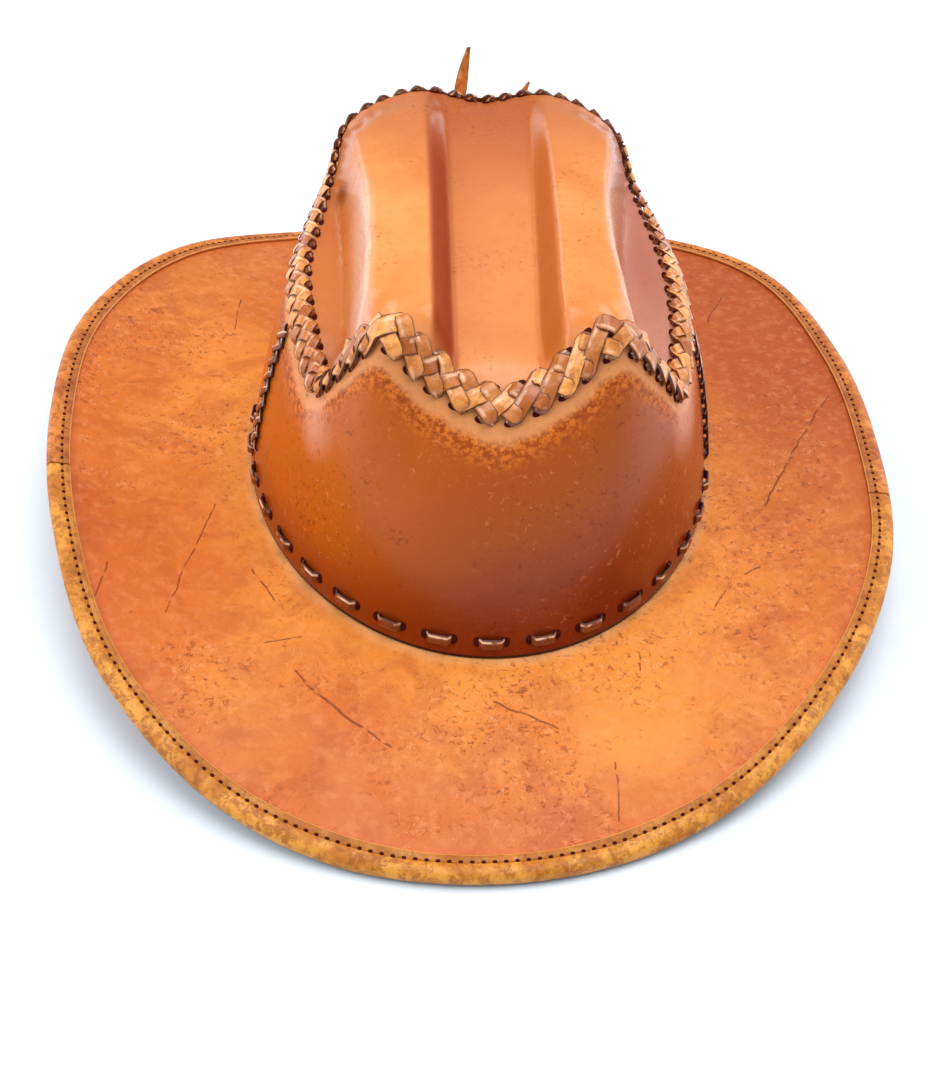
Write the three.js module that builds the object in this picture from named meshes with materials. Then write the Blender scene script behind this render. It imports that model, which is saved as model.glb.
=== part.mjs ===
// A leather hat: a wide bound brim, a crown of two laced panels, and a moulded tip with a
// centre channel, two ridges and two side dents. Millimetres, +Z up, the front faces -Y,
// and the origin is on the resting plane under the middle of the hat.
import * as THREE from 'three';

// Crown, where it meets the brim (outer half widths of the head oval)
const HEAD_HALF_WIDTH = 87;
const HEAD_HALF_LENGTH = 106;
const CROWN_LEATHER = 2.4;
const BASE_HEIGHT = 16.5;       // top of the brim at the front and back of the crown
const BASE_ARCH = 5;            // how much higher it is at the sides
const COLLAR_HEIGHT = 13;       // hidden turned-up flange of the brim inside the crown
const COLLAR_LEAN = 4;          // how far the flange leans in with the wall

// Brim
const BRIM_LEATHER = 2.6;
const BRIM_CURL = 1.5;          // how late the brim bends on its way out to the edge
const BIND_THICK = 1.4;
const BIND_WIDTH = 8.5;
const BIND_LIP = 2.2;           // how far the brim's edge stays inside the binding's fold
const BINDING_JOINT = 82;       // bearing of the two butt joints, degrees from the front

// Lacing
const BRAID_WIDTH = 12.5;
const PLAIT_CLEAR = 0.8;
const PLAIT_CLEAR_TIP = 3.1;    // the dents curve up towards the plait's inner edge
const BRAID_THICK = 2.4;
const LACE_WIDTH = 4;
const LACE_THICK = 1.2;
const BASE_LACE_RISE = 7;
const SIDE_LACE_WIDTH = 6;

// Where the middle of the head oval lies from the middle of the whole hat
const HEAD_X = 2.13;
const HEAD_Y = -2.81;

const GAP = 0.35;               // clearance between neighbouring pieces
const SEAM_GAP = 0.9;           // each side's distance from the seam between wall and tip
const BRIM_STEPS = 72;          // facets round the brim
const SEAM_STEPS = 4;           // facets for each row of the seam table

// The edge of the brim: bearing in degrees from the front, towards the right
const RIM = [
  { bearing: 0, reach: 185.5, height: 3.8 },
  { bearing: 22.5, reach: 178.5, height: 8 },
  { bearing: 45, reach: 167, height: 17.5 },
  { bearing: 67.5, reach: 160.3, height: 24.5 },
  { bearing: 90, reach: 157, height: 27.5 },
  { bearing: 112.5, reach: 168, height: 26.5 },
  { bearing: 135, reach: 189.5, height: 21.5 },
  { bearing: 157.5, reach: 195, height: 10.5 },
  { bearing: 180, reach: 191, height: 3.8 },
  { bearing: 202.5, reach: 190.5, height: 9 },
  { bearing: 225, reach: 183.5, height: 27 },
  { bearing: 247.5, reach: 171.5, height: 36.5 },
  { bearing: 270, reach: 161, height: 39 },
  { bearing: 292.5, reach: 162.5, height: 34.5 },
  { bearing: 315, reach: 174.8, height: 22.5 },
  { bearing: 337.5, reach: 185, height: 9 },
];

// The seam between walls and tip, from the front middle to the back middle: how far out
// on either side, and how far the plait sits towards the wall
const SEAM = [
  { place: 'front_vee', right: 0, left: 0, y: -75, z: 98.5, shift: 0 },
  { place: 'vee_side', right: 19.8, left: 21.5, y: -70, z: 107, shift: 0 },
  { place: 'front_peak', right: 33.8, left: 36, y: -66, z: 119.5, shift: 0 },
  { place: 'peak_side', right: 49, left: 47, y: -58, z: 104, shift: 0 },
  { place: 'side_lobe', right: 61, left: 57, y: -46, z: 86, shift: 0.5 },
  { place: 'dent_front', right: 65.5, left: 63, y: -24, z: 90, shift: 1 },
  { place: 'dent_middle', right: 65, left: 65.5, y: 2, z: 97, shift: 2 },
  { place: 'dent_back', right: 61, left: 61.5, y: 26, z: 101, shift: 3.8 },
  { place: 'back_side', right: 54.5, left: 56, y: 52, z: 106, shift: 7 },
  { place: 'back_corner', right: 48.5, left: 49.5, y: 79, z: 115.5, shift: 9.5 },
  { place: 'back_edge', right: 26, left: 26, y: 91, z: 121.5, shift: 9 },
  { place: 'back_middle', right: 0, left: 0, y: 91, z: 118, shift: 6 },
];
const PANEL_JOINT_ROW = 5.4;    // where the front and back panels meet, counted in seam rows

// The tip along its length: crest height of the ridges, depth of the channel and dents,
// the channel's middle and its half width at the crests, and half width where the ridges
// start to fall
const TIP = [
  { y: -75, crest: 110, channel: 12, middle: -0.7, half: 21, dent: 0, outside: 44 },
  { y: -62, crest: 120.5, channel: 15.5, middle: -0.7, half: 21.1, dent: 16, outside: 41 },
  { y: -40, crest: 122, channel: 15, middle: -0.5, half: 21.3, dent: 33, outside: 41.5 },
  { y: -12, crest: 122, channel: 14, middle: 0.3, half: 21.9, dent: 32, outside: 41 },
  { y: 20, crest: 122, channel: 12.5, middle: 1, half: 22.4, dent: 26, outside: 42.5 },
  { y: 50, crest: 123, channel: 9, middle: 1.2, half: 22.8, dent: 17, outside: 46.5 },
  { y: 74, crest: 123, channel: 5, middle: 1.2, half: 23, dent: 10, outside: 50 },
  { y: 91, crest: 122, channel: 3, middle: 1.2, half: 23, dent: 0, outside: 54 },
];
const CHANNEL_WALL = 7.8;       // width of the slope on either side of the channel's floor
const RIDGES_X = -1.5;          // the ridges stand a little off the middle
const DENT_FALL = 10;           // width of the slope from a ridge to the bottom of its dent
const SEAM_BLEND = 0.78;        // share of the way out where the tip starts to seek the seam
const TIP_CENTRE_Y = 8;
const TIP_COLUMNS = [-48, -45.5, -42, -37, -30, -24, -21.5, -18.8, -16.2, -13.5, -9, -4, 1,
  6, 11.5, 14.2, 16.9, 19.5, 22, 24.2, 27.5, 32, 37.5, 42, 45.5, 48];   // across the tip's corners
const TIP_ROWS = 24;
const FRONT_CORNER = 3;         // seam rows where the tip's grid has its corners
const BACK_CORNER = 9.2;

// Two thong ends standing behind the back of the seam
const LACE_ENDS = [
  { name: 'lace_end_tall', x: -8.5, y: 100.2, foot: 104, tip: 135.5, width: 5, lean: 3 },
  { name: 'lace_end_short', x: 14.5, y: 100.2, foot: 104, tip: 122, width: 4, lean: 4 },
];

const radians = THREE.MathUtils.degToRad;
const lerp = THREE.MathUtils.lerp;
const smoothstep = THREE.MathUtils.smoothstep;

// A smooth curve through the rows of a table whose first column is the place
function throughRows(rows, at, value, position, period) {
  const count = rows.length;
  const pick = (i) => {
    if (!period) {
      const j = Math.min(Math.max(i, 0), count - 1);
      return { p: rows[j][at], v: rows[j][value] };
    }
    const turn = Math.floor(i / count);
    const row = rows[i - turn * count];
    return { p: row[at] + turn * period, v: row[value] };
  };
  let p = position;
  if (period) p = ((p % period) + period) % period;
  let i = 0;
  while (i < count - 1 && pick(i + 1).p <= p) i += 1;
  if (!period) i = Math.min(i, count - 2);
  const [before, from, to, after] = [pick(i - 1), pick(i), pick(i + 1), pick(i + 2)];
  const s = THREE.MathUtils.clamp((p - from.p) / (to.p - from.p), 0, 1);
  const m0 = (to.v - before.v) / Math.max(to.p - before.p, 1e-6) * (to.p - from.p);
  const m1 = (after.v - from.v) / Math.max(after.p - from.p, 1e-6) * (to.p - from.p);
  const s2 = s * s;
  const s3 = s2 * s;
  return (2 * s3 - 3 * s2 + 1) * from.v + (s3 - 2 * s2 + s) * m0
    + (3 * s2 - 2 * s3) * to.v + (s3 - s2) * m1;
}

// A closed solid between an outer and an inner grid of points, [along][across]
function sheetSolid(outer, inner, closedLoop) {
  const rows = outer.length;
  const cols = outer[0].length;
  const positions = [];
  for (const grid of [outer, inner]) {
    for (const row of grid) {
      for (const p of row) positions.push(p.x, p.y, p.z);
    }
  }
  const index = [];
  const quad = (a, b, c, d) => index.push(a, b, c, a, c, d);
  const out = (i, j) => (i % rows) * cols + j;
  const inn = (i, j) => rows * cols + (i % rows) * cols + j;
  const steps = closedLoop ? rows : rows - 1;
  for (let i = 0; i < steps; i += 1) {
    for (let j = 0; j < cols - 1; j += 1) {
      quad(out(i, j), out(i + 1, j), out(i + 1, j + 1), out(i, j + 1));
      quad(inn(i, j), inn(i, j + 1), inn(i + 1, j + 1), inn(i + 1, j));
    }
    quad(out(i, 0), inn(i, 0), inn(i + 1, 0), out(i + 1, 0));
    quad(out(i, cols - 1), out(i + 1, cols - 1), inn(i + 1, cols - 1), inn(i, cols - 1));
  }
  if (!closedLoop) {
    for (let j = 0; j < cols - 1; j += 1) {
      quad(out(0, j), out(0, j + 1), inn(0, j + 1), inn(0, j));
      quad(out(rows - 1, j), inn(rows - 1, j), inn(rows - 1, j + 1), out(rows - 1, j + 1));
    }
  }
  const geometry = new THREE.BufferGeometry();
  geometry.setAttribute('position', new THREE.Float32BufferAttribute(positions, 3));
  geometry.setIndex(index);
  geometry.computeVertexNormals();
  return geometry;
}

// Unit normal of a surface function at (u, v), pointing the way the grids face
function normalOf(surface, u, v, du, dv) {
  const alongU = surface(u + du, v).sub(surface(u - du, v));
  const alongV = surface(u, v + dv).sub(surface(u, v - dv));
  return alongU.cross(alongV).normalize();
}

function headOval(turn, inset, z) {
  return new THREE.Vector3(
    (HEAD_HALF_WIDTH - inset) * Math.sin(turn),
    -(HEAD_HALF_LENGTH - inset) * Math.cos(turn),
    z,
  );
}

function baseHeight(turn) {
  return BASE_HEIGHT + BASE_ARCH * Math.sin(turn) ** 2;
}

// The edge of the brim on the line that leaves the head oval at this turn
function rimPoint(turn) {
  const bearing = Math.atan2(159 * Math.sin(turn), 187 * Math.cos(turn));
  const degrees = THREE.MathUtils.radToDeg(bearing);
  const reach = throughRows(RIM, 'bearing', 'reach', degrees, 360);
  const height = throughRows(RIM, 'bearing', 'height', degrees, 360);
  return new THREE.Vector3(reach * Math.sin(bearing), -reach * Math.cos(bearing), height);
}

// The brim's finished top: `inset` millimetres in from the edge, towards the crown
function brimTop(turn, inset) {
  const rim = rimPoint(turn);
  const base = headOval(turn, 0, baseHeight(turn));
  const length = Math.hypot(rim.x - base.x, rim.y - base.y);
  const out = 1 - inset / length;
  const z = base.z + (rim.z - base.z) * Math.abs(out) ** BRIM_CURL * Math.sign(out);
  return new THREE.Vector3(lerp(base.x, rim.x, out), lerp(base.y, rim.y, out), z);
}

function brimLength(turn) {
  const rim = rimPoint(turn);
  const base = headOval(turn, 0, 0);
  return Math.hypot(rim.x - base.x, rim.y - base.y);
}

// Leather goes flat where it rests, so nothing reaches below the resting plane
function restOn(point, floor) {
  point.z = Math.max(point.z, floor);
  return point;
}

function brimGeometry() {
  const shares = [0, 0.09, 0.2, 0.36, 0.54, 0.74, 0.9];
  const topDrop = BIND_THICK + GAP;
  const underDrop = topDrop + BRIM_LEATHER;
  const collarOuter = CROWN_LEATHER + GAP + 0.15;
  const collarInner = collarOuter + BRIM_LEATHER;
  const outer = [];
  const inner = [];
  for (let i = 0; i < BRIM_STEPS; i += 1) {
    const turn = i / BRIM_STEPS * Math.PI * 2;
    const length = brimLength(turn) - BIND_LIP;
    const top = [];
    const under = [];
    for (const share of shares) {
      const inset = BIND_LIP + share * length;
      const t = restOn(brimTop(turn, inset), BIND_THICK * 2 + GAP * 2 + BRIM_LEATHER);
      top.push(t.clone().setZ(t.z - topDrop));
      under.push(t.clone().setZ(t.z - underDrop));
    }
    const foot = baseHeight(turn) - topDrop;
    top.push(headOval(turn, collarOuter, foot));
    top.push(headOval(turn, collarOuter + COLLAR_LEAN, foot + COLLAR_HEIGHT));
    under.push(headOval(turn, collarInner, foot - BRIM_LEATHER));
    under.push(headOval(turn, collarInner + COLLAR_LEAN, foot + COLLAR_HEIGHT));
    outer.push(top);
    inner.push(under);
  }
  return sheetSolid(outer, inner, true);
}

// A folded strip round the edge, from one bearing to the other
function bindingGeometry(fromTurn, toTurn) {
  const deep = 2 * BIND_THICK + 2 * GAP + BRIM_LEATHER;
  const outside = [
    { inset: BIND_WIDTH, drop: 0 },
    { inset: 2, drop: 0 },
    { inset: 0.4, drop: deep * 0.2 },
    { inset: 0, drop: deep * 0.5 },
    { inset: 0.4, drop: deep * 0.8 },
    { inset: 2, drop: deep },
    { inset: BIND_WIDTH, drop: deep },
  ];
  const inside = [
    { inset: BIND_WIDTH, drop: BIND_THICK },
    { inset: 2.6, drop: BIND_THICK },
    { inset: 1.8, drop: deep * 0.33 },
    { inset: 1.7, drop: deep * 0.5 },
    { inset: 1.8, drop: deep * 0.67 },
    { inset: 2.6, drop: deep - BIND_THICK },
    { inset: BIND_WIDTH, drop: deep - BIND_THICK },
  ];
  const steps = Math.round((toTurn - fromTurn) / (Math.PI * 2) * BRIM_STEPS);
  const place = (turn, { inset, drop }) => {
    const p = restOn(brimTop(turn, inset), deep);
    return p.setZ(p.z - drop);
  };
  const outer = [];
  const inner = [];
  const trim = 0.15 / HEAD_HALF_WIDTH;
  for (let i = 0; i <= steps; i += 1) {
    let turn = lerp(fromTurn, toTurn, i / steps);
    if (i === 0) turn += trim;
    if (i === steps) turn -= trim;
    outer.push(outside.map((row) => place(turn, row)).reverse());
    inner.push(inside.map((row) => place(turn, row)).reverse());
  }
  return sheetSolid(outer, inner, false);
}

// The seam as a closed curve, one unit of the parameter for each row of the table
const seamRows = SEAM.map((row) => ({ ...row, x: row.right })).concat(
  SEAM.slice(1, -1).reverse().map((row) => ({ ...row, x: -row.left })));
const seamCurve = new THREE.CatmullRomCurve3(
  seamRows.map((row) => new THREE.Vector3(row.x, row.y, row.z)), true, 'centripetal');
const SEAM_COUNT = seamRows.length;

function seamPoint(row) {
  const t = ((row / SEAM_COUNT) % 1 + 1) % 1;
  return seamCurve.getPoint(t);
}

function plaitShift(row) {
  const place = ((row % SEAM_COUNT) + SEAM_COUNT) % SEAM_COUNT;
  const i = Math.floor(place);
  return lerp(seamRows[i].shift, seamRows[(i + 1) % SEAM_COUNT].shift, place - i);
}

function turnAt(row) {
  const p = seamPoint(row);
  return Math.atan2(p.x / HEAD_HALF_WIDTH, -p.y / HEAD_HALF_LENGTH);
}

// The outside of the crown's wall: `row` goes round, `up` goes from the brim to the seam
function wallPoint(row, up) {
  const top = seamPoint(row);
  const turn = turnAt(row);
  const foot = headOval(turn, 0, baseHeight(turn) - BIND_THICK);
  const height = top.z - foot.z;
  const out = new THREE.Vector3(foot.x - top.x, foot.y - top.y, 0);
  const reach = out.length();
  out.normalize();
  const low = foot.clone().addScaledVector(out, -reach * 0.16);
  low.z += height * 0.36;
  const high = top.clone().addScaledVector(out, reach * 0.42);
  high.z -= height * 0.12;
  return new THREE.CubicBezierCurve3(foot, low, high, top).getPoint(up);
}

function ridgeHeight(x, y) {
  const crest = throughRows(TIP, 'y', 'crest', y, 0);
  const channel = throughRows(TIP, 'y', 'channel', y, 0);
  const dent = throughRows(TIP, 'y', 'dent', y, 0);
  const outside = throughRows(TIP, 'y', 'outside', y, 0) - 1;
  const half = throughRows(TIP, 'y', 'half', y, 0);
  const aside = Math.abs(x - throughRows(TIP, 'y', 'middle', y, 0));
  const inChannel = 1 - smoothstep(aside, half - CHANNEL_WALL, half);
  const inDent = smoothstep(Math.abs(x - RIDGES_X), outside, outside + DENT_FALL);
  return crest - channel * inChannel - dent * inDent;
}

// Seen from above, each ray from the tip's middle meets the seam at one row
const TIP_RAYS = 1760;
const rays = [];
for (let i = 0; i <= TIP_RAYS; i += 1) {
  const row = (i / TIP_RAYS - 0.5) * SEAM_COUNT;
  const edge = seamPoint(row);
  const angle = Math.atan2(edge.x, TIP_CENTRE_Y - edge.y);
  rays.push({ row, angle: i === 0 || i === TIP_RAYS ? Math.sign(row) * Math.PI : angle });
}

function rowOfRay(x, y) {
  const angle = Math.atan2(x, TIP_CENTRE_Y - y);
  let low = 0;
  let high = TIP_RAYS;
  while (high - low > 1) {
    const middle = Math.floor((low + high) / 2);
    if (rays[middle].angle <= angle) low = middle;
    else high = middle;
  }
  const share = (angle - rays[low].angle) / (rays[high].angle - rays[low].angle);
  return lerp(rays[low].row, rays[high].row, share);
}

// Height of the tip's outside: the ridges and dents, led to the seam at the edge
function tipHeight(x, y) {
  const edge = seamPoint(rowOfRay(x, y));
  const out = Math.hypot(x, y - TIP_CENTRE_Y) / Math.hypot(edge.x, edge.y - TIP_CENTRE_Y);
  const seek = smoothstep(out, SEAM_BLEND, 1);
  return ridgeHeight(x, y) + (edge.z - ridgeHeight(edge.x, edge.y)) * seek;
}

// The seam row between two others where the seam reaches this place on one axis
function rowWhere(axis, value, fromRow, toRow) {
  let low = fromRow;
  let high = toRow;
  const rising = seamPoint(toRow)[axis] > seamPoint(fromRow)[axis];
  for (let k = 0; k < 30; k += 1) {
    const middle = (low + high) / 2;
    if ((seamPoint(middle)[axis] < value) === rising) low = middle;
    else high = middle;
  }
  return (low + high) / 2;
}

// The outside of the tip: u runs across and v along, both from -1 to 1. Its columns keep
// to the channel and the ridges, and spread out to the seam only at the sides
function tipPoint(u, v) {
  const right = u >= 0;
  const frontCorner = seamPoint(right ? FRONT_CORNER : -FRONT_CORNER);
  const backCorner = seamPoint(right ? BACK_CORNER : -BACK_CORNER);
  const across = Math.min(Math.abs(u), 1);
  const middle = SEAM_COUNT / 2;
  const sign = right ? 1 : -1;
  const front = seamPoint(rowWhere('x', frontCorner.x * across, 0, sign * FRONT_CORNER));
  const back = seamPoint(rowWhere('x', backCorner.x * across, sign * middle, sign * BACK_CORNER));
  const t = (v + 1) / 2;
  const x = lerp(front.x, back.x, t);
  const y = lerp(front.y, back.y, t);
  const sideY = lerp(frontCorner.y, backCorner.y, t);
  const side = seamPoint(rowWhere('y', sideY, sign * FRONT_CORNER, sign * BACK_CORNER));
  const spread = Math.max(0, (across - 0.5) / 0.5) ** 1.3;
  const atX = x + (side.x - lerp(frontCorner.x, backCorner.x, t)) * spread;
  return new THREE.Vector3(atX, y, tipHeight(atX, y));
}

// The tip again, but by seam row and by the share of the way out from its middle
function tipAlong(row, out) {
  const edge = seamPoint(row);
  const x = edge.x * out;
  const y = TIP_CENTRE_Y + (edge.y - TIP_CENTRE_Y) * out;
  const seek = smoothstep(out, SEAM_BLEND, 1);
  const z = ridgeHeight(x, y) + (edge.z - ridgeHeight(edge.x, edge.y)) * seek;
  return new THREE.Vector3(x, y, z);
}

const wallNormal = (row, up) => normalOf(wallPoint, row, up, 0.05, 0.01);
const tipNormal = (row, out) => normalOf(tipAlong, row, out, 0.05, 0.01).negate();
function seamNormal(row) {
  return wallNormal(row, 0.985).add(tipNormal(row, 0.985)).normalize();
}

function panelGeometry(fromRow, toRow) {
  const steps = Math.round((toRow - fromRow) * SEAM_STEPS);
  const ups = [0, 0.16, 0.34, 0.52, 0.7, 0.86, 1];
  const topUp = 1 - SEAM_GAP / 80;
  const outer = [];
  const inner = [];
  for (let i = 0; i <= steps; i += 1) {
    const row = lerp(fromRow, toRow, i / steps);
    const outRow = [];
    const inRow = [];
    for (const up of ups) {
      const last = up === 1;
      const p = wallPoint(row, last ? topUp : up);
      const n = last ? seamNormal(row) : wallNormal(row, Math.max(up, 0.01));
      if (up === 0) n.setZ(0).normalize();
      outRow.push(p);
      inRow.push(p.clone().addScaledVector(n, -CROWN_LEATHER));
    }
    outer.push(outRow);
    inner.push(inRow);
  }
  return sheetSolid(outer, inner, false);
}

function tipGeometry() {
  const widest = TIP_COLUMNS[TIP_COLUMNS.length - 1];
  const outer = [];
  const inner = [];
  for (let i = 0; i < TIP_COLUMNS.length; i += 1) {
    const u = TIP_COLUMNS[i] / widest;
    const outRow = [];
    const inRow = [];
    for (let j = 0; j <= TIP_ROWS; j += 1) {
      const v = lerp(-1, 1, j / TIP_ROWS);
      const edge = Math.abs(u) === 1 || j === 0 || j === TIP_ROWS;
      const p = tipPoint(u, v);
      let n = normalOf(tipPoint, u * 0.98, v * 0.98, 0.01, 0.01);
      if (edge) {
        const row = rowOfRay(p.x, p.y);
        p.copy(tipAlong(row, 1 - SEAM_GAP / 60));
        n = seamNormal(row);
      }
      outRow.push(p);
      inRow.push(p.clone().addScaledVector(n, -CROWN_LEATHER));
    }
    outer.push(outRow);
    inner.push(inRow);
  }
  return sheetSolid(outer, inner, false);
}

// A place beside the seam, by its distance onto the tip (above 0) or the wall (below 0)
function besideSeam(row, across) {
  const seam = seamPoint(row);
  const onTip = across > 0;
  const surface = onTip ? tipAlong : wallPoint;
  const reach = surface(row, 0.9).distanceTo(seam) / 0.1;
  const share = 1 - Math.abs(across) / reach;
  const p = surface(row, share);
  let n = seamNormal(row);
  if (Math.abs(across) > 1) {
    n = onTip ? tipNormal(row, share) : wallNormal(row, share);
  }
  return { p, n, clear: onTip ? PLAIT_CLEAR_TIP : PLAIT_CLEAR };
}

// The plaited lacing, as the solid band that the plait fills, bent over the seam
function braidGeometry() {
  const outer = [];
  const inner = [];
  const steps = SEAM_COUNT * SEAM_STEPS;
  for (let i = 0; i < steps; i += 1) {
    const row = i / SEAM_STEPS;
    const first = BRAID_WIDTH / 2 - plaitShift(row);
    const last = first - BRAID_WIDTH;
    const corner = Math.min(0, first - BRAID_WIDTH * 0.2);
    const section = [first, corner, (corner + last) / 2, last]
      .map((across) => besideSeam(row, across));
    outer.push(section.map((at) => at.p.clone().addScaledVector(at.n, at.clear + BRAID_THICK)));
    inner.push(section.map((at) => at.p.clone().addScaledVector(at.n, at.clear)));
  }
  return sheetSolid(outer.reverse(), inner.reverse(), true);
}

// A flat band that lies on the wall, given by its middle line
function bandOnWall(path, width, thick, closedLoop) {
  const outer = [];
  const inner = [];
  path.forEach(({ row, up, side }) => {
    const p = wallPoint(row, up);
    const n = wallNormal(row, up);
    const edge = side.clone().multiplyScalar(width / 2);
    const low = p.clone().sub(edge);
    const high = p.clone().add(edge);
    outer.push([low, high].map((q) => q.clone().addScaledVector(n, GAP + 0.2 + thick)));
    inner.push([low, high].map((q) => q.clone().addScaledVector(n, GAP + 0.2)));
  });
  return sheetSolid(outer, inner, closedLoop);
}

function baseLaceGeometry() {
  const path = [];
  const steps = SEAM_COUNT * 3;
  for (let i = 0; i < steps; i += 1) {
    const row = i / 3;
    let up = 0.05;
    for (let k = 0; k < 4; k += 1) {
      up *= BASE_LACE_RISE / (wallPoint(row, up).z - wallPoint(row, 0).z);
    }
    const side = wallPoint(row, up + 0.01).sub(wallPoint(row, up - 0.01)).normalize();
    path.push({ row, up, side });
  }
  return bandOnWall(path, LACE_WIDTH, LACE_THICK, true);
}

function sideLaceGeometry(row) {
  const path = [];
  const steps = 10;
  const along = wallPoint(row + 0.05, 0.5).sub(wallPoint(row - 0.05, 0.5)).normalize();
  const topUp = 0.785;
  for (let i = 0; i <= steps; i += 1) {
    path.push({ row, up: lerp(0.17, topUp, i / steps), side: along.clone().negate() });
  }
  return bandOnWall(path, SIDE_LACE_WIDTH, 1.6, false);
}

function laceEndGeometry({ x, y, foot, tip, width, lean }) {
  const shape = new THREE.Shape();
  shape.moveTo(-width * 0.35, 0);
  shape.quadraticCurveTo(-width * 0.7, (tip - foot) * 0.5, lean, tip - foot);
  shape.quadraticCurveTo(width * 0.7, (tip - foot) * 0.45, width * 0.35, 0);
  const geometry = new THREE.ExtrudeGeometry(shape, {
    depth: LACE_THICK, bevelEnabled: false, curveSegments: 5,
  });
  geometry.rotateX(Math.PI / 2);
  geometry.translate(x, y, foot);
  return geometry;
}

function leather(color, roughness) {
  return new THREE.MeshStandardMaterial({ color, roughness, metalness: 0 });
}

const hat = new THREE.Group();
hat.position.set(HEAD_X, HEAD_Y, 0);

function addPiece(name, geometry, material) {
  const mesh = new THREE.Mesh(geometry, material);
  mesh.name = name;
  hat.add(mesh);
}

const jointTurn = radians(Math.round(BINDING_JOINT / 5) * 5);
const fullTurn = Math.PI * 2;
addPiece('brim', brimGeometry(), leather('#d9773a', 0.42));
addPiece('binding_front', bindingGeometry(-jointTurn, jointTurn), leather('#cf9038', 0.55));
addPiece('binding_back', bindingGeometry(jointTurn, fullTurn - jointTurn),
  leather('#d98336', 0.5));

const joint = PANEL_JOINT_ROW;
const slit = 0.02;
addPiece('crown_front', panelGeometry(-joint + slit, joint - slit), leather('#a04a1c', 0.3));
addPiece('crown_back', panelGeometry(joint + slit, SEAM_COUNT - joint - slit),
  leather('#a85020', 0.3));
addPiece('crown_top', tipGeometry(), leather('#e08440', 0.3));
addPiece('top_braid', braidGeometry(), leather('#d9a468', 0.5));
addPiece('side_lace_right', sideLaceGeometry(joint), leather('#8e4a22', 0.5));
addPiece('side_lace_left', sideLaceGeometry(-joint), leather('#8e4a22', 0.5));
addPiece('base_lace', baseLaceGeometry(), leather('#a2552a', 0.4));
for (const end of LACE_ENDS) {
  addPiece(end.name, laceEndGeometry(end), leather('#a85a2c', 0.5));
}

export default hat;
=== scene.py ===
"""The looks of a leather hat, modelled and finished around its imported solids."""
import bisect
import math
import random
from functools import lru_cache

import bmesh
import bpy
from mathutils import Matrix, Vector


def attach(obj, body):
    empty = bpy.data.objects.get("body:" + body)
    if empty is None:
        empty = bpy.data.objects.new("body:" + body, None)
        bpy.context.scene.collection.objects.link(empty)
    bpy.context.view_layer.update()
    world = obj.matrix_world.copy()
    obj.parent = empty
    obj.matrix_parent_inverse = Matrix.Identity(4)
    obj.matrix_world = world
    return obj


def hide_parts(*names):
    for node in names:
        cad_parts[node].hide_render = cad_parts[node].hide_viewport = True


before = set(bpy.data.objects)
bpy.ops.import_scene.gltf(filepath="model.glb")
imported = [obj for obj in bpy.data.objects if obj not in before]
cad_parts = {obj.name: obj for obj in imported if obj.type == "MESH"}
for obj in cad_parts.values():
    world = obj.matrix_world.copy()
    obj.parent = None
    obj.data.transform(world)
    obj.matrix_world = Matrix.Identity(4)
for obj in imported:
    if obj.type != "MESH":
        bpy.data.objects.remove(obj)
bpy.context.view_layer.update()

# The hat's measures in millimetres, as the solids have them. BRIM_CURL is how late the brim
# bends on its way out, and BINDING_JOINT is in degrees round the rim.
MM = 0.001
HEAD_HALF_WIDTH = 87.0
HEAD_HALF_LENGTH = 106.0
HEAD_X = 2.13
HEAD_Y = -2.81
CROWN_LEATHER = 2.4
BASE_HEIGHT = 16.5
BASE_ARCH = 5.0
BASE_LACE_RISE = 7.0
COLLAR_HEIGHT = 13.0
COLLAR_LEAN = 4.0
BRIM_LEATHER = 2.6
BRIM_CURL = 1.5
BIND_THICK = 1.4
BIND_WIDTH = 8.5
BIND_LIP = 2.2
BINDING_JOINT = 80.0
GAP = 0.35
EDGE_DEPTH = 2 * BIND_THICK + 2 * GAP + BRIM_LEATHER
RIM_HALF_WIDTH = 159.0
RIM_HALF_LENGTH = 187.0

# Clearances that only the looks have. The reach of the tip and the rise of the wall, in
# round figures, turn the seam's gap into a share of each.
SEAM_GAP = 0.3
FLANGE_CLEAR = 0.15
TIP_REACH = 60.0
WALL_RISE = 80.0

# Where the wall panels meet, and half the slit between them, in rows of the seam's table
PANEL_JOINT_ROW = 5.4
PANEL_SLIT = 0.02

# How far out and how far up the wall's curve is led, as shares of its reach and height
WALL_LOW_OUT, WALL_LOW_UP = 0.16, 0.36
WALL_HIGH_OUT, WALL_HIGH_DOWN = 0.42, 0.12

# The edge of the brim: bearing from the front towards the right, reach, height
RIM = [
    (0, 185.5, 3.8), (22.5, 178.5, 8), (45, 167, 17.5), (67.5, 160.3, 24.5),
    (90, 157, 27.5), (112.5, 168, 26.5), (135, 189.5, 21.5), (157.5, 195, 10.5),
    (180, 191, 3.8), (202.5, 190.5, 9), (225, 183.5, 27), (247.5, 171.5, 36.5),
    (270, 161, 39), (292.5, 162.5, 34.5), (315, 174.8, 22.5), (337.5, 185, 9),
]

# The seam between walls and tip, from the front middle to the back middle: reach to the
# right and to the left, place along the hat, height, and shift of the plait to the wall,
# which is less at the back than the solid band's
SEAM = [
    (0, 0, -75, 98.5, 0), (19.8, 21.5, -70, 107, 0), (33.8, 36, -66, 119.5, 0),
    (49, 47, -58, 104, 0), (61, 57, -46, 86, 0.5), (65.5, 63, -24, 90, 1),
    (65, 65.5, 2, 97, 2), (61, 61.5, 26, 101, 3), (54.5, 56, 52, 106, 4.5),
    (48.5, 49.5, 79, 115.5, 5.5), (26, 26, 91, 121.5, 5), (0, 0, 91, 118, 3.5),
]

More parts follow.
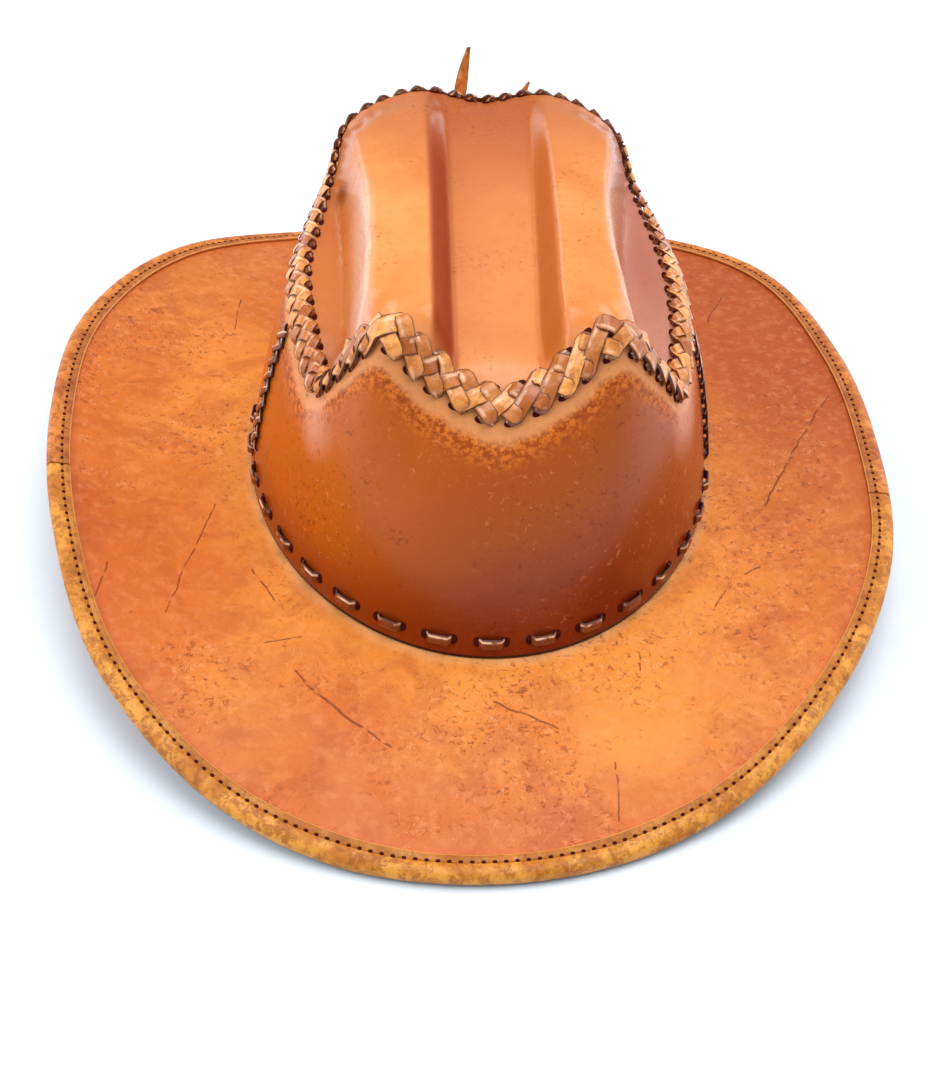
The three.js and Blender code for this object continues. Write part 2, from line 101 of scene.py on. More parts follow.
# The tip along its length: place, crest of the ridges, depth of the channel and of the
# dents, half width where the ridges start to fall, and the channel's middle and half width
TIP = [
    (-75, 110, 12, 0, 44, -0.7, 21), (-62, 120.5, 15.5, 16, 41, -0.7, 21.1),
    (-40, 122, 15, 33, 41.5, -0.5, 21.3), (-12, 122, 14, 32, 41, 0.3, 21.9),
    (20, 122, 12.5, 26, 42.5, 1, 22.4), (50, 123, 9, 17, 46.5, 1.2, 22.8),
    (74, 123, 5, 10, 50, 1.2, 23), (91, 122, 3, 0, 54, 1.2, 23),
]
CHANNEL_WALL = 7.8
RIDGES_X = -1.5
DENT_FALL = 10.0
TIP_CENTRE_Y = 8.0

# From this share of the way out the tip is led to the seam, whose corners are at two rows
SEAM_BLEND = 0.78
FRONT_CORNER = 3.0
BACK_CORNER = 9.2

# Lacing, in millimetres. The plait is this many times closer at the sides and back, and
# each of its thongs spans this many pitches.
BRAID_CLOSER = 1.3
BRAID_SPAN = 1.5
BRAID_WIDTH = 11.8
BRAID_PITCH = 9.0
THONG_WIDTH = 5.7
THONG_THICK = 0.9
BRAID_CLEAR = 0.8
WEAVE_RISE = 0.5
BASE_STITCH = 9.2
BASE_PITCH = 17.5
BASE_THONG = 4.0
SIDE_PITCH = 6.5
SIDE_WIDTH = 6.0
STITCH_PITCH = 3.45
STITCH_INSET = 5.6
SEED = 7

# The camera: degrees, millimetres and pixels of the whole frame
VIEW_ELEVATION = 41.0
VIEW_AZIMUTH = -5.0
VIEW_ROLL = 4.0
VIEW_DISTANCE = 560.0
FOCAL_PIXELS = 1404.0
FRAME_WIDTH, FRAME_HEIGHT = 937.0, 1085.0
AIM_COLUMN, AIM_ROW = 475.2, 485.3
SENSOR = 36.0


def clamp(value, low, high):
    return max(low, min(high, value))


def smoothstep(value, low, high):
    t = clamp((value - low) / (high - low), 0.0, 1.0)
    return t * t * (3 - 2 * t)


def look_up(places, values, place):
    """The value at a place, from a list of rising places and a list of their values."""
    low = clamp(bisect.bisect_right(places, place) - 1, 0, len(places) - 2)
    share = (place - places[low]) / (places[low + 1] - places[low])
    return values[low] + (values[low + 1] - values[low]) * share


def through_rows(rows, column, position, period=0):
    """A smooth curve through one column of a table whose first column is the place."""
    count = len(rows)

    def pick(i):
        if not period:
            row = rows[int(clamp(i, 0, count - 1))]
            return row[0], row[column]
        turn = i // count
        row = rows[i - turn * count]
        return row[0] + turn * period, row[column]

    place = position % period if period else position
    i = 0
    while i < count - 1 and pick(i + 1)[0] <= place:
        i += 1
    if not period:
        i = min(i, count - 2)
    (p0, v0), (p1, v1), (p2, v2), (p3, v3) = (pick(i + k) for k in (-1, 0, 1, 2))
    s = clamp((place - p1) / (p2 - p1), 0, 1)
    m1 = (v2 - v0) / max(p2 - p0, 1e-6) * (p2 - p1)
    m2 = (v3 - v1) / max(p3 - p1, 1e-6) * (p2 - p1)
    return ((2 * s**3 - 3 * s**2 + 1) * v1 + (s**3 - 2 * s**2 + s) * m1
            + (3 * s**2 - 2 * s**3) * v2 + (s**3 - s**2) * m2)


def normal_of(surface, u, v, du, dv):
    along_u = surface(u + du, v) - surface(u - du, v)
    along_v = surface(u, v + dv) - surface(u, v - dv)
    return along_u.cross(along_v).normalized()


def head_oval(turn, inset, z):
    """A point of the oval round the head, from the front at 0 towards the right."""
    x = (HEAD_HALF_WIDTH - inset) * math.sin(turn)
    y = -(HEAD_HALF_LENGTH - inset) * math.cos(turn)
    return Vector((x, y, z))


def base_height(turn):
    """Height of the crown's foot, which arches up at the left and right."""
    return BASE_HEIGHT + BASE_ARCH * math.sin(turn) ** 2


def rim_point(turn):
    """A point of the brim's edge, from the table of the rim."""
    bearing = math.atan2(RIM_HALF_WIDTH * math.sin(turn), RIM_HALF_LENGTH * math.cos(turn))
    degrees = math.degrees(bearing)
    reach = through_rows(RIM, 1, degrees, 360)
    height = through_rows(RIM, 2, degrees, 360)
    return Vector((reach * math.sin(bearing), -reach * math.cos(bearing), height))


def brim_length(turn):
    rim = rim_point(turn)
    base = head_oval(turn, 0, 0)
    return math.hypot(rim.x - base.x, rim.y - base.y)


def brim_top(turn, inset):
    """The finished top of the brim, `inset` in from its edge."""
    rim = rim_point(turn)
    base = head_oval(turn, 0, base_height(turn))
    out = 1 - inset / math.hypot(rim.x - base.x, rim.y - base.y)
    z = base.z + (rim.z - base.z) * math.copysign(abs(out) ** BRIM_CURL, out)
    return Vector((base.x + (rim.x - base.x) * out, base.y + (rim.y - base.y) * out, z))


def seam_rows():
    """The seam's points all the way round, and the plait's shift at each of them."""
    right = [Vector((row[0], row[2], row[3])) for row in SEAM]
    left = [Vector((-row[1], row[2], row[3])) for row in reversed(SEAM[1:-1])]
    shifts = [row[4] for row in SEAM]
    return right + left, shifts + shifts[-2:0:-1]


SEAM_POINTS, SEAM_SHIFTS = seam_rows()
SEAM_COUNT = len(SEAM_POINTS)


def seam_point(row):
    """The closed seam curve: one unit of `row` for each row of the table."""
    i = math.floor(row)
    weight = row - i
    p = [SEAM_POINTS[(i + k) % SEAM_COUNT] for k in (-1, 0, 1, 2)]
    step = [max((p[k + 1] - p[k]).length_squared ** 0.25, 1e-4) for k in range(3)]
    t1 = (p[1] - p[0]) / step[0] - (p[2] - p[0]) / (step[0] + step[1]) + (p[2] - p[1]) / step[1]
    t2 = (p[2] - p[1]) / step[1] - (p[3] - p[1]) / (step[1] + step[2]) + (p[3] - p[2]) / step[2]
    t1 = t1 * step[1]
    t2 = t2 * step[1]
    c2 = -3 * p[1] + 3 * p[2] - 2 * t1 - t2
    c3 = 2 * p[1] - 2 * p[2] + t1 + t2
    return p[1] + t1 * weight + c2 * weight**2 + c3 * weight**3


def plait_shift(row):
    """How far the plait's middle lies from the seam, onto the wall."""
    place = row % SEAM_COUNT
    i = int(place)
    after = SEAM_SHIFTS[(i + 1) % SEAM_COUNT]
    return SEAM_SHIFTS[i] + (after - SEAM_SHIFTS[i]) * (place - i)


def wall_point(row, up):
    """The outside of the wall: `row` goes round, `up` from the brim to the seam."""
    top = seam_point(row)
    turn = math.atan2(top.x / HEAD_HALF_WIDTH, -top.y / HEAD_HALF_LENGTH)
    foot = head_oval(turn, 0, base_height(turn) - BIND_THICK)
    height = top.z - foot.z
    out = Vector((foot.x - top.x, foot.y - top.y, 0))
    reach = out.length
    out.normalize()
    low = foot - out * reach * WALL_LOW_OUT + Vector((0, 0, height * WALL_LOW_UP))
    high = top + out * reach * WALL_HIGH_OUT - Vector((0, 0, height * WALL_HIGH_DOWN))
    a, b = 1 - up, up
    return foot * a**3 + low * (3 * a * a * b) + high * (3 * a * b * b) + top * b**3


def ridge_height(x, y):
    """Height of the tip from its ridges, channel and dents alone."""
    crest = through_rows(TIP, 1, y)
    channel = through_rows(TIP, 2, y)
    dent = through_rows(TIP, 3, y)
    outside = through_rows(TIP, 4, y) - 1
    half = through_rows(TIP, 6, y)
    in_channel = 1 - smoothstep(abs(x - through_rows(TIP, 5, y)), half - CHANNEL_WALL, half)
    in_dent = smoothstep(abs(x - RIDGES_X), outside, outside + DENT_FALL)
    return crest - channel * in_channel - dent * in_dent


def tip_along(row, out):
    """The outside of the tip, by seam row and share of the way out from its middle."""
    edge = seam_point(row)
    x = edge.x * out
    y = TIP_CENTRE_Y + (edge.y - TIP_CENTRE_Y) * out
    seek = smoothstep(out, SEAM_BLEND, 1)
    z = ridge_height(x, y) + (edge.z - ridge_height(edge.x, edge.y)) * seek
    return Vector((x, y, z))


def ray_table(samples=1760):
    """Seen from above, each ray from the tip's middle meets the seam at one row."""
    rows, angles = [], []
    for i in range(samples + 1):
        row = (i / samples - 0.5) * SEAM_COUNT
        edge = seam_point(row)
        rows.append(row)
        angles.append(math.atan2(edge.x, TIP_CENTRE_Y - edge.y))
    angles[0], angles[-1] = -math.pi, math.pi
    return rows, angles


RAY_ROWS, RAY_ANGLES = ray_table()


def row_of_ray(x, y):
    """The seam row that a ray from the tip's middle through this place meets."""
    return look_up(RAY_ANGLES, RAY_ROWS, math.atan2(x, TIP_CENTRE_Y - y))


def tip_height(x, y):
    """Height of the tip's outside: the ridges and dents, led to the seam at the edge."""
    edge = seam_point(row_of_ray(x, y))
    out = math.hypot(x, y - TIP_CENTRE_Y) / math.hypot(edge.x, edge.y - TIP_CENTRE_Y)
    seek = smoothstep(out, SEAM_BLEND, 1)
    return ridge_height(x, y) + (edge.z - ridge_height(edge.x, edge.y)) * seek


@lru_cache(maxsize=4096)
def seam_where(axis, value, from_row, to_row):
    """The seam's point between two rows where it reaches this place on one axis."""
    low, high = from_row, to_row
    rising = seam_point(to_row)[axis] > seam_point(from_row)[axis]
    for _ in range(24):
        middle = (low + high) / 2
        if (seam_point(middle)[axis] < value) == rising:
            low = middle
        else:
            high = middle
    return seam_point((low + high) / 2)


def tip_point(u, v):
    """The outside of the tip, u across and v along, both from -1 to 1."""
    sign = 1 if u >= 0 else -1
    front_corner = seam_point(sign * FRONT_CORNER)
    back_corner = seam_point(sign * BACK_CORNER)
    across = min(abs(u), 1)
    front = seam_where(0, front_corner.x * across, 0, sign * FRONT_CORNER)
    back = seam_where(0, back_corner.x * across, sign * SEAM_COUNT / 2, sign * BACK_CORNER)
    t = (v + 1) / 2
    plan = front.lerp(back, t)
    corner = front_corner.lerp(back_corner, t)
    side = seam_where(1, corner.y, sign * FRONT_CORNER, sign * BACK_CORNER)
    spread = max(0.0, (across - 0.5) / 0.5) ** 1.3
    x = plan.x + (side.x - corner.x) * spread
    return Vector((x, plan.y, tip_height(x, plan.y)))


def wall_normal(row, up):
    return normal_of(wall_point, row, up, 0.05, 0.01)


def tip_normal(row, out):
    return -normal_of(tip_along, row, out, 0.05, 0.01)


def band_point(row, across):
    """A point beside the seam: `across` millimetres onto the tip, or below 0 onto the wall."""
    seam = seam_point(row)
    if across >= 0:
        reach = (tip_along(row, 0.9) - seam).length / 0.1
        out = 1 - across / reach
        point = tip_along(row, out)
        normal = tip_normal(row, min(out, 0.985))
        other = wall_normal(row, 0.985)
    else:
        reach = (wall_point(row, 0.9) - seam).length / 0.1
        up = 1 + across / reach
        point = wall_point(row, up)
        normal = wall_normal(row, min(up, 0.985))
        other = tip_normal(row, 0.985)
    share = 0.5 * (1 - smoothstep(abs(across), 0, 5))
    return point, (normal * (1 - share) + other * share).normalized()


def closeness(row):
    """How much closer the plait's thongs lie at the sides and back than at the front."""
    place = row % SEAM_COUNT
    away = min(place, SEAM_COUNT - place)
    return 1 + (BRAID_CLOSER - 1) * smoothstep(away, 3, 4.6)


def lengths_along(points, weights=None):
    """The length of a line up to each of its points, with a weight for each step."""
    total = [0.0]
    for i, (a, b) in enumerate(zip(points, points[1:])):
        total.append(total[-1] + (b - a).length * (weights[i] if weights else 1))
    return total


def rows_round(samples):
    """Rows of the seam's table from the front middle once round, evenly spaced."""
    return [SEAM_COUNT * i / samples for i in range(samples + 1)]


# Lengths along the seam count longer where the plait's thongs lie closer
SEAM_ROWS = rows_round(1600)
SEAM_LENGTHS = lengths_along([seam_point(row) for row in SEAM_ROWS],
                             [closeness(row) for row in SEAM_ROWS])
SEAM_LENGTH = SEAM_LENGTHS[-1]


def row_at(length):
    """The seam row at a weighted length from the front middle."""
    return look_up(SEAM_LENGTHS, SEAM_ROWS, length % SEAM_LENGTH)


def placed(point):
    """From the head's own frame in millimetres to the model's frame in metres."""
    return Vector((point.x + HEAD_X, point.y + HEAD_Y, point.z)) * MM


def finish_mesh(name, bm, material, merge=False):
    """Makes the object of a finished bmesh, smooth, and lets it ride the hat's body."""
    if merge:
        bmesh.ops.remove_doubles(bm, verts=bm.verts[:], dist=1e-6)
    mesh = bpy.data.meshes.new(name)
    bm.to_mesh(mesh)
    bm.free()
    for polygon in mesh.polygons:
        polygon.use_smooth = True
    mesh.materials.append(material)
    piece = bpy.data.objects.new(name, mesh)
    bpy.context.scene.collection.objects.link(piece)
    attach(piece, "root")
    return piece


def new_sheet_mesh():
    """An empty mesh with the UV layer that the materials read."""
    bm = bmesh.new()
    bm.loops.layers.uv.new("UVMap")
    return bm


def thicken(piece, thickness, rounding):
    """Gives a sheet its thickness inwards, and rounds its cut edges, in millimetres."""
    wall = piece.modifiers.new("wall", "SOLIDIFY")
    wall.thickness = thickness * MM
    wall.offset = -1
    edge = piece.modifiers.new("edge", "BEVEL")
    edge.width = rounding * MM
    edge.segments = 2
    edge.limit_method = "ANGLE"
    edge.angle_limit = math.radians(50)


def sheet(name, columns, rows, shape, material, thickness, wrap=False, masks=None):
    """A sheet of leather from a grid bent to shape(u, v), walled inwards."""
    bm = new_sheet_mesh()
    bmesh.ops.create_grid(bm, x_segments=columns, y_segments=rows, size=0.5, calc_uvs=True)
    masks = masks or {}
    layers = {mask: bm.verts.layers.float.new(mask) for mask in masks}
    for vert in bm.verts:
        u, v = vert.co.x + 0.5, vert.co.y + 0.5
        point = shape(u, v)
        vert.co = placed(point)
        for mask, layer in layers.items():
            vert[layer] = masks[mask](u, v, point)
    piece = finish_mesh(name, bm, material, wrap)
    thicken(piece, thickness, 0.35)
    return piece


def add_strap(bm, path, width, steps, crown=0.22, tone=0.5):
    """One flat thong along path(t) -> point, normal, side; t runs from 0 to 1."""
    layer = bm.verts.layers.float.get("tone") or bm.verts.layers.float.new("tone")
    verts = bmesh.ops.create_grid(
        bm, x_segments=steps, y_segments=4, size=0.5, calc_uvs=True)["verts"]
    for vert in verts:
        t, across = vert.co.x + 0.5, vert.co.y
        point, normal, side = path(t)
        bulge = crown * (1 - (2 * across) ** 2)
        vert.co = placed(point + side * (across * width) + normal * bulge)
        vert[layer] = tone


def straps_piece(name, bm, material):
    piece = finish_mesh(name, bm, material)
    thicken(piece, THONG_THICK, 0.25)
    return piece


def strap_side(path, t):
    """A thong's point and normal at t, and the direction across it."""
    point, normal = path(t)
    ahead = path(min(t + 0.02, 1))[0] - path(max(t - 0.02, 0))[0]
    return point, normal, normal.cross(ahead).normalized()


def add_bead(bm, point, normal, along, size):
    """A small flattened bead, such as a stitch or the dark mouth of a hole."""
    verts = bmesh.ops.create_icosphere(bm, subdivisions=2, radius=0.5)["verts"]
    side = normal.cross(along).normalized()
    along = side.cross(normal).normalized()
    for vert in verts:
        c = vert.co.copy()
        vert.co = placed(point + along * (c.x * size[0]) + side * (c.y * size[1])
                         + normal * (c.z * size[2]))


# Materials

def linear(hex_colour):
    """An sRGB hex value as linear red, green, blue and alpha."""
    channels = [int(hex_colour[i:i + 2], 16) / 255 for i in (1, 3, 5)]
    out = [c / 12.92 if c <= 0.04045 else ((c + 0.055) / 1.055) ** 2.4 for c in channels]
    return (*out, 1.0)


def node(tree, kind, inputs=None, **settings):
    """Adds one node, sets its properties, and sets or links its inputs."""
    made = tree.nodes.new(kind)
    for key, value in settings.items():
        setattr(made, key, value)
    for key, value in (inputs or {}).items():
        socket = made.inputs[key]
        if isinstance(value, bpy.types.NodeSocket):
            tree.links.new(value, socket)
        else:
            socket.default_value = value
    return made


def new_material(name):
    material = bpy.data.materials.new(name)
    material.use_nodes = True
    tree = material.node_tree
    shader = tree.nodes["Principled BSDF"]
    return material, tree, shader


def noise(tree, place, millimetres, detail=3.0, rough=0.5, distortion=0.0):
    """Soft noise whose lumps are about this many millimetres across."""
    made = node(tree, "ShaderNodeTexNoise", {
        "Vector": place, "Scale": 1000 / millimetres / 2, "Detail": detail,
        "Roughness": rough, "Distortion": distortion})
    return made.outputs["Fac"]


def spread(tree, value, low, high, out_low=0.0, out_high=1.0):
    made = node(tree, "ShaderNodeMapRange", {
        "Value": value, "From Min": low, "From Max": high, "To Min": out_low,
        "To Max": out_high}, interpolation_type="SMOOTHSTEP")
    return made.outputs["Result"]


def mix(tree, factor, colour_a, colour_b):
    made = node(tree, "ShaderNodeMix", data_type="RGBA")
    for index, value in ((0, factor), (6, colour_a), (7, colour_b)):
        socket = made.inputs[index]
        if isinstance(value, bpy.types.NodeSocket):
            tree.links.new(value, socket)
        else:
            socket.default_value = linear(value) if isinstance(value, str) else value
    return made.outputs[2]


def maths(tree, operation, a, b=0.5):
    return node(tree, "ShaderNodeMath", {0: a, 1: b}, operation=operation).outputs[0]


def tint(tree, colour, mask, amount, shade):
    """The colour, changed by this amount to the shade where the mask is 1."""
    return mix(tree, maths(tree, "MULTIPLY", mask, amount), colour, shade)


def ragged(tree, value, place, millimetres, amount, detail=3.0):
    """A value raised by noise, so that the limits set on it aren't ruled."""
    lumps = noise(tree, place, millimetres, detail)
    return maths(tree, "ADD", value, maths(tree, "MULTIPLY", lumps, amount))


def distance_to(tree, place, x, y, z):
    """Distance from a point given in metres in the model's frame."""
    return node(tree, "ShaderNodeVectorMath", {0: place, 1: (x, y, z)},
                operation="DISTANCE").outputs["Value"]


def object_place(tree):
    return node(tree, "ShaderNodeTexCoord").outputs["Object"]


def leather_bump(tree, shader, place, pore=0.9, crease=7.0, depth=0.12, marks=None):
    """Pores and soft creases of tanned hide, as bump from their real sizes."""
    pores = node(tree, "ShaderNodeTexVoronoi", {
        "Vector": place, "Scale": 1000 / pore / 2, "Randomness": 1.0}).outputs["Distance"]
    creases = noise(tree, place, crease, 5.0, 0.62, 0.4)
    height = maths(tree, "ADD", maths(tree, "MULTIPLY", pores, 0.3), creases)
    if marks is not None:
        height = maths(tree, "SUBTRACT", height, maths(tree, "MULTIPLY", marks, 0.6))
    bump = node(tree, "ShaderNodeBump", {
        "Height": height, "Strength": depth, "Distance": 0.8 * MM})
    tree.links.new(bump.outputs["Normal"], shader.inputs["Normal"])


def specks(tree, place, cluster, size, low, high):
    """Ragged small marks of this size, gathered in clusters."""
    where = spread(tree, noise(tree, place, cluster, 3.0, 0.6), 0.42, 0.62)
    marks = spread(tree, noise(tree, place, size, 4.0, 0.7, 0.8), low, high)
    return maths(tree, "MULTIPLY", where, marks)


def wobbled(tree, place, millimetres, amount):
    """Places moved about by noise, so that drawn lines aren't ruled."""
    field = node(tree, "ShaderNodeTexNoise", {
        "Vector": place, "Scale": 1000 / millimetres / 2, "Detail": 2.0}).outputs["Color"]
    centred = node(tree, "ShaderNodeVectorMath", {0: field, 1: (0.5, 0.5, 0.5)},
                   operation="SUBTRACT").outputs[0]
    moved = node(tree, "ShaderNodeVectorMath", {0: centred, "Scale": amount * MM},
                 operation="SCALE").outputs[0]
    return node(tree, "ShaderNodeVectorMath", {0: place, 1: moved},
                operation="ADD").outputs[0]


def line_mask(tree, place, start, end, width):
    """A thin line on the surface between two points, seen from above, millimetres."""
    a = Vector(((start[0] + HEAD_X) * MM, (start[1] + HEAD_Y) * MM, 0))
    b = Vector(((end[0] + HEAD_X) * MM, (end[1] + HEAD_Y) * MM, 0))
    along = b - a
    flat = node(tree, "ShaderNodeVectorMath", {0: place, 1: (1, 1, 0)}, operation="MULTIPLY")
    offset = node(tree, "ShaderNodeVectorMath", {0: flat.outputs[0], 1: tuple(a)},
                  operation="SUBTRACT")
    share = node(tree, "ShaderNodeVectorMath", {
        0: offset.outputs[0], 1: tuple(along / along.length_squared)}, operation="DOT_PRODUCT")
    held = node(tree, "ShaderNodeClamp", {"Value": share.outputs["Value"]})
    foot = node(tree, "ShaderNodeVectorMath", {0: tuple(along), "Scale": held.outputs[0]},
                operation="SCALE")
    gap = node(tree, "ShaderNodeVectorMath", {0: offset.outputs[0], 1: foot.outputs[0]},
               operation="DISTANCE")
    return spread(tree, gap.outputs["Value"], width * MM, width * 0.3 * MM)


def along_axis(tree, place, direction, low, high):
    """A broad change from one side of the hat to the other, low and high in millimetres."""
    share = node(tree, "ShaderNodeVectorMath", {0: place, 1: direction},
                 operation="DOT_PRODUCT").outputs["Value"]
    return spread(tree, share, low * MM, high * MM)


def uv_axis(tree, axis):
    return node(tree, "ShaderNodeSeparateXYZ", {
        "Vector": node(tree, "ShaderNodeUVMap", uv_map="UVMap").outputs[0]}).outputs[axis]


BRIM_SCRATCHES = [
    ((-64.8, -111.9), (-57.9, -120.1), 0.55), ((-57.9, -120.1), (-43.3, -132.5), 0.7),
    ((-43.3, -132.5), (-33, -140.4), 0.55), ((0, -123.4), (8.7, -127.2), 0.6),
    ((8.7, -127.2), (20.8, -133.5), 0.5), ((144.2, 30.6), (127.6, 4), 0.5),
    ((127.6, 4), (105.3, -35.2), 0.6), ((115.9, 112.3), (104.8, 89.1), 0.45),
    ((-97.9, -36), (-104.4, -66.1), 0.4), ((-104.4, -66.1), (-109.2, -90.9), 0.35),
    ((-130.3, -73.2), (-132.8, -88.5), 0.4), ((99.2, -64.5), (92.7, -68.2), 0.5),
    ((38.3, -145.4), (38.1, -165.4), 0.4), ((-82.4, -66.5), (-73.4, -81.5), 0.45),
    ((-75.6, -100.8), (-64.1, -97.6), 0.45), ((79.7, -84.5), (84.7, -75.2), 0.45),
    ((51, -104.1), (50.2, -110.3), 0.4), ((-99.4, 96.6), (-99.7, 73.7), 0.35),
]


def brim_leather():
    """Vegetable-tanned hide, waxed: blotched orange-tan with dark specks and scratches."""
    material, tree, shader = new_material("vegetable_tanned_brim")
    place = object_place(tree)
    broad = spread(tree, noise(tree, place, 60, 3.0, 0.55, 0.6), 0.34, 0.66)
    colour = mix(tree, broad, "#C8641E", "#DE8230")
    inside = uv_axis(tree, "Y")
    depth = ragged(tree, inside, place, 30, 0.3)
    warm = spread(tree, depth, 0.62, 0.98)
    colour = tint(tree, colour, warm, 0.6, "#F09438")
    rim = spread(tree, depth, 0.4, 0.16)
    colour = tint(tree, colour, rim, 0.35, "#CA6C34")
    shaded = along_axis(tree, place, (0.75, 0.66, 0), 5, 170)
    colour = tint(tree, colour, shaded, 0.85, "#A04218")
    behind = along_axis(tree, place, (-0.3, 0.95, 0), 40, 160)
    colour = tint(tree, colour, behind, 0.45, "#B46030")
    left = along_axis(tree, place, (-0.9, -0.2, 0), 90, 150)
    colour = tint(tree, colour, left, 0.25, "#CC5A1C")
    middle = spread(tree, noise(tree, place, 11, 6.0, 0.68, 0.6), 0.44, 0.62)
    colour = tint(tree, colour, middle, 0.4, "#AE4A1C")
    patch = ragged(tree, distance_to(tree, place, 0.052, -0.129, 0.013), place, 16, 24 * MM)
    glow = spread(tree, patch, 44 * MM, 24 * MM)
    colour = tint(tree, colour, glow, 0.6, "#F0922E")
    fine = spread(tree, noise(tree, place, 2.4, 4.0, 0.65), 0.45, 0.7)
    colour = tint(tree, colour, fine, 0.2, "#F0A062")
    # A pale band on the brim beside the crown's foot: a painted highlight where the brim turns
    # up to the crown.
    foot = spread(tree, ragged(tree, inside, place, 9, 0.08), 0.83, 0.9)
    colour = tint(tree, colour, foot, 0.5, "#FBBE84")
    flecks = spread(tree, noise(tree, place, 1.3, 4.0, 0.72, 0.6), 0.6, 0.68)
    colour = tint(tree, colour, flecks, 0.45, "#9A4416")
    small = specks(tree, place, 20, 1.1, 0.56, 0.63)
    colour = tint(tree, colour, small, 0.7, "#86340F")
    curls = specks(tree, wobbled(tree, place, 3, 2.0), 20, 1.2, 0.57, 0.62)
    colour = tint(tree, colour, curls, 0.22, "#FBB480")
    large = specks(tree, place, 34, 2.8, 0.6, 0.68)
    colour = tint(tree, colour, large, 0.5, "#9A4016")
    rough_place = wobbled(tree, place, 5, 3.0)
    lines = None
    for start, end, width in BRIM_SCRATCHES:
        mask = line_mask(tree, rough_place, start, end, width)
        lines = mask if lines is None else maths(tree, "MAXIMUM", lines, mask)
    worn = spread(tree, noise(tree, place, 1.6, 3.0), 0.34, 0.5)
    lines = maths(tree, "MULTIPLY", lines, worn)
    colour = tint(tree, colour, lines, 0.85, "#7A3410")
    tree.links.new(colour, shader.inputs["Base Color"])
    rough = spread(tree, noise(tree, place, 10, 4.0), 0.3, 0.7, 0.36, 0.5)
    tree.links.new(rough, shader.inputs["Roughness"])
    shader.inputs["Specular IOR Level"].default_value = 0.26
    marks = maths(tree, "MAXIMUM", lines, maths(tree, "MULTIPLY", small, 0.5))
    leather_bump(tree, shader, place, 0.9, 5.0, 0.3, marks)
    return material


def wall_leather():
    """Burnished hide: deep red-brown and glossy, with a grainy orange band at the top."""
    material, tree, shader = new_material("burnished_wall")
    place = object_place(tree)
    below = node(tree, "ShaderNodeAttribute", attribute_name="shade").outputs["Fac"]
    up = uv_axis(tree, "Y")
    height = ragged(tree, up, place, 30, 0.3)
    colour = mix(tree, spread(tree, height, 0.16, 0.8), "#822806", "#AE5216")
    left = along_axis(tree, place, (-1, -0.15, 0), 2, 66)
    colour = tint(tree, colour, left, 0.75, "#CC660E")
    cloud = spread(tree, noise(tree, place, 14, 5.0, 0.62, 0.4), 0.36, 0.7)
    colour = tint(tree, colour, cloud, 0.4, "#AA5020")
    edge = ragged(tree, below, place, 3, 0.05, 5.0)
    grain = spread(tree, noise(tree, place, 0.9, 4.0, 0.75), 0.42, 0.6)
    orange = spread(tree, edge, 0.27, 0.15)
    colour = mix(tree, orange, colour, mix(tree, grain, "#9E440E", "#DE7826"))
    # A pale band just under the plait: a painted highlight on the wall's rounded top edge.
    pale = spread(tree, edge, 0.165, 0.125)
    colour = tint(tree, colour, pale, 0.85, "#E6995E")
    light = specks(tree, place, 26, 1.2, 0.6, 0.66)
    colour = tint(tree, colour, light, 0.5, "#DE9058")
    dark = specks(tree, place, 18, 1.1, 0.57, 0.64)
    colour = tint(tree, colour, dark, 0.5, "#561A06")
    foot = spread(tree, height, 0.5, 0.14)
    colour = tint(tree, colour, foot, 0.68, "#781A00")
    # Pale pink spots on the wall's front shoulders, left and right: painted reflections of the
    # lamps.
    for x, y, z, reach in ((-55, -55, 74, 15), (62, -46, 74, 20)):
        gap = distance_to(tree, place, *placed(Vector((x, y, z))))
        gap = ragged(tree, gap, place, 8, 8 * MM)
        sheen = spread(tree, gap, (reach + 4) * MM, reach * 0.4 * MM)
        colour = tint(tree, colour, sheen, 0.42, "#F0B8A0")
    # The wall's lowest millimetre painted near-black: its dark cut edge, and painted shadow
    # where it meets the brim.
    colour = mix(tree, spread(tree, up, 0.016, 0.008), colour, "#2A0803")
    tree.links.new(colour, shader.inputs["Base Color"])
    tree.links.new(spread(tree, orange, 0, 1, 0.27, 0.5), shader.inputs["Roughness"])
    shader.inputs["Specular IOR Level"].default_value = 0.2
    shader.inputs["Coat Weight"].default_value = 0.08
    shader.inputs["Coat Roughness"].default_value = 0.14
    leather_bump(tree, shader, place, 1.0, 5.0, 0.22)
    return material


